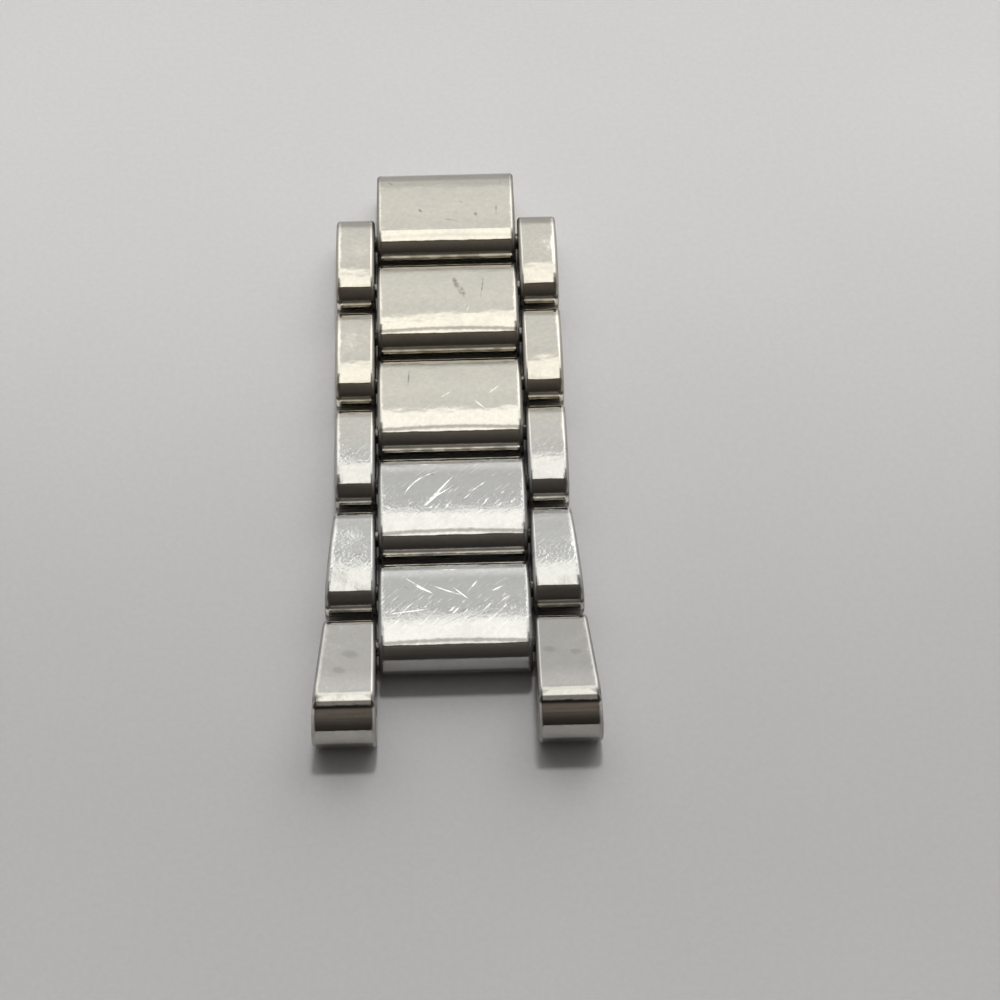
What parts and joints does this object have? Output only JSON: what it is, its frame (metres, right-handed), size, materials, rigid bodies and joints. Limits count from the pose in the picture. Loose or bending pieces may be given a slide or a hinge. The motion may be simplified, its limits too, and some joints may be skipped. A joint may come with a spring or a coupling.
{
  "type": "watch bracelet link section",
  "caption": "Section of a three-row watch bracelet: hinged polished links, flared forked ends that hold the case",
  "frame": {"origin": "centre of the section's box in plan, on the surface that the wrist side rests on", "axes": "+Z out of the wearer's wrist, +Y from the forked ends along the bracelet, X along the pins"},
  "size_m": [0.02, 0.0526, 0.0048],
  "materials": {
    "centre_links": "polished stainless steel with fine wear scratches",
    "outer_links": "polished stainless steel with fine wear scratches",
    "end_pieces": "polished stainless steel with fine wear scratches",
    "pins": "fine turned steel, duller than the links"
  },
  "bodies": {
    "end_pair": {"end_piece_left": "end_pieces", "end_piece_right": "end_pieces", "link_pin_9": "pins"},
    "centre_5": {"centre_link_5": "centre_links"},
    "outer_pair_4": {"outer_link_left_4": "outer_links", "outer_link_right_4": "outer_links", "link_pin_7": "pins", "link_pin_8": "pins"},
    "centre_4": {"centre_link_4": "centre_links"},
    "outer_pair_3": {"outer_link_left_3": "outer_links", "outer_link_right_3": "outer_links", "link_pin_5": "pins", "link_pin_6": "pins"},
    "centre_3": {"centre_link_3": "centre_links"},
    "outer_pair_2": {"outer_link_left_2": "outer_links", "outer_link_right_2": "outer_links", "link_pin_3": "pins", "link_pin_4": "pins"},
    "centre_2": {"centre_link_2": "centre_links"},
    "outer_pair_1": {"outer_link_left_1": "outer_links", "outer_link_right_1": "outer_links", "link_pin_1": "pins", "link_pin_2": "pins"},
    "centre_1": {"centre_link_1": "centre_links"}
  },
  "joints": [
    {"name": "hinge_9", "type": "hinge", "parent": "end_pair", "child": "centre_5", "pos_m": [0, -0.01834, 0.00195], "axis": [-1, 0, 0], "range_deg": [-8, 25]},
    {"name": "hinge_8", "type": "hinge", "parent": "centre_5", "child": "outer_pair_4", "pos_m": [0, -0.01364, 0.00195], "axis": [-1, 0, 0], "range_deg": [-8, 25]},
    {"name": "hinge_7", "type": "hinge", "parent": "outer_pair_4", "child": "centre_4", "pos_m": [0, -0.00894, 0.00195], "axis": [-1, 0, 0], "range_deg": [-8, 25]},
    {"name": "hinge_6", "type": "hinge", "parent": "centre_4", "child": "outer_pair_3", "pos_m": [0, -0.00424, 0.00195], "axis": [-1, 0, 0], "range_deg": [-8, 25]},
    {"name": "hinge_5", "type": "hinge", "parent": "outer_pair_3", "child": "centre_3", "pos_m": [0, 0.00046, 0.00195], "axis": [-1, 0, 0], "range_deg": [-8, 25]},
    {"name": "hinge_4", "type": "hinge", "parent": "centre_3", "child": "outer_pair_2", "pos_m": [0, 0.00516, 0.00195], "axis": [-1, 0, 0], "range_deg": [-8, 25]},
    {"name": "hinge_3", "type": "hinge", "parent": "outer_pair_2", "child": "centre_2", "pos_m": [0, 0.00986, 0.00195], "axis": [-1, 0, 0], "range_deg": [-8, 25]},
    {"name": "hinge_2", "type": "hinge", "parent": "centre_2", "child": "outer_pair_1", "pos_m": [0, 0.01456, 0.00195], "axis": [-1, 0, 0], "range_deg": [-8, 25]},
    {"name": "hinge_1", "type": "hinge", "parent": "outer_pair_1", "child": "centre_1", "pos_m": [0, 0.01926, 0.00195], "axis": [-1, 0, 0], "range_deg": [-8, 25]}
  ]
}
